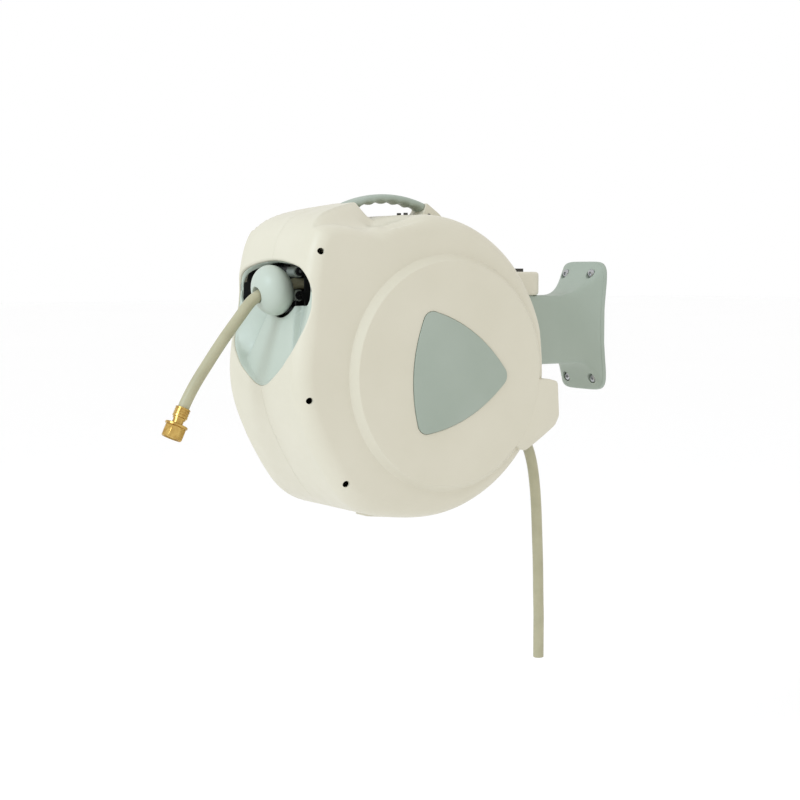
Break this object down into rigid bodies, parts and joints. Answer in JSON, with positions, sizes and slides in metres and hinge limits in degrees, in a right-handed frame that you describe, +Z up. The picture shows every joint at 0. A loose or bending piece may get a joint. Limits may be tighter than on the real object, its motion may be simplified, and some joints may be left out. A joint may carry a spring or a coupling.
{
  "type": "wall mounted hose reel",
  "caption": "Retractable hose reel in a round cream casing with a carrying grip, hinged on a flared wall bracket; a spring drum draws the hose in through a guided mouth with a stopper ball",
  "frame": {"origin": "middle of the wall plate's back face", "axes": "+Y into the wall, the reel hangs towards -Y, +Z up, +X to the reel's right side seen from the wall's front"},
  "size_m": [0.232, 0.7483, 0.696],
  "materials": {
    "cream_plastic": "fine moulded texture, satin",
    "sage_plastic": "fine moulded texture, satin",
    "pale_sage_plastic": "smooth satin",
    "hose": "soft satin",
    "brass": "turned, bright",
    "steel": "brushed",
    "dark_steel": "dark satin",
    "black_rubber": "matte",
    "inner_plastic": "plain moulded"
  },
  "bodies": {
    "bracket": {"wall_bracket": "sage_plastic"},
    "hinge_pin": {"hinge_pin": "dark_steel"},
    "reel": {"hinge_yoke": "cream_plastic", "left_shell": "cream_plastic", "right_shell": "cream_plastic", "casing_screws": "dark_steel", "mouth_insert": "pale_sage_plastic", "handle_grip": "sage_plastic", "handle_post": "cream_plastic", "handle_screws": "dark_steel", "left_badge": "sage_plastic", "right_badge": "sage_plastic", "foot": "cream_plastic", "left_frame": "inner_plastic", "right_frame": "inner_plastic", "spring_arbor": "steel", "power_spring": "steel", "inlet_stem": "brass", "stem_seals": "black_rubber", "inlet_elbow": "brass", "inlet_clip": "steel", "inlet_run": "hose", "inlet_grommet": "black_rubber", "leader_hose": "hose", "idler_pin": "steel", "guide_rod": "steel", "screw_bushes": "brass", "pawl_pin": "steel", "pawl_spring": "steel", "hose_lead": "hose", "right_stopper": "pale_sage_plastic", "left_stopper": "pale_sage_plastic", "stopper_screws": "dark_steel", "outlet_hose": "hose", "outlet_ferrule": "brass", "outlet_tail": "brass", "outlet_washer": "black_rubber"},
    "drum": {"drum_hub": "inner_plastic", "left_flange": "inner_plastic", "right_flange": "inner_plastic", "drum_gear": "inner_plastic", "ratchet_ring": "steel", "drum_bush": "brass", "manifold": "brass", "feed_barb": "brass", "wound_core": "hose", "hose_winding": "hose"},
    "idler": {"idler_gear": "inner_plastic"},
    "screw": {"traverse_screw": "steel", "screw_gear": "inner_plastic"},
    "carriage": {"guide_carriage": "inner_plastic", "screw_follower": "brass", "roller_pins": "steel"},
    "roller_high": {"upper_roller": "pale_sage_plastic"},
    "roller_low": {"lower_roller": "pale_sage_plastic"},
    "pawl": {"ratchet_pawl": "steel"},
    "nut": {"outlet_nut": "brass"}
  },
  "joints": [
    {"name": "reel_swing", "type": "hinge", "parent": "bracket", "child": "reel", "pos_m": [0, -0.139, 0], "axis": [0, 0, 1], "range_deg": [-90, 90]},
    {"name": "pin_lift", "type": "slide", "parent": "reel", "child": "hinge_pin", "axis": [0, 0, 1], "range_m": [0, 0.2]},
    {"name": "drum_spin", "type": "hinge", "parent": "reel", "child": "drum", "pos_m": [0, -0.349, -0.059], "axis": [1, 0, 0], "range_deg": [0, 1080], "stiffness_Nm_per_rad": 0.25, "deforming": ["power_spring", "hose_lead"]},
    {"name": "idler_spin", "type": "hinge", "parent": "reel", "child": "idler", "pos_m": [0, -0.44409, 0.02366], "axis": [1, 0, 0], "range_deg": [-665, 0]},
    {"name": "screw_spin", "type": "hinge", "parent": "reel", "child": "screw", "pos_m": [0, -0.52107, 0.09058], "axis": [1, 0, 0], "range_deg": [0, 2161]},
    {"name": "guide_slide", "type": "slide", "parent": "reel", "child": "carriage", "axis": [1, 0, 0], "range_m": [-0.0511, 0], "deforming": ["hose_lead"]},
    {"name": "upper_roller_spin", "type": "hinge", "parent": "carriage", "child": "roller_high", "pos_m": [0, -0.54, 0.08543], "axis": [1, 0, 0], "continuous": true},
    {"name": "lower_roller_spin", "type": "hinge", "parent": "carriage", "child": "roller_low", "pos_m": [0, -0.54, 0.05223], "axis": [1, 0, 0], "continuous": true},
    {"name": "pawl_swing", "type": "hinge", "parent": "reel", "child": "pawl", "pos_m": [0, -0.4135, -0.17072], "axis": [-1, 0, 0], "range_deg": [0, 14], "stiffness_Nm_per_rad": 0.2, "deforming": ["pawl_spring"]},
    {"name": "nut_spin", "type": "hinge", "parent": "reel", "child": "nut", "pos_m": [0, -0.73052, -0.1281], "axis": [0, -0.4258, -0.9048], "continuous": true}
  ],
  "couplings": [
    {"joint": "idler_spin", "follows": "drum_spin", "ratio": -0.61538},
    {"joint": "screw_spin", "follows": "drum_spin", "ratio": 2},
    {"joint": "guide_slide", "follows": "drum_spin", "m_per_rad": -0.0027056}
  ]
}
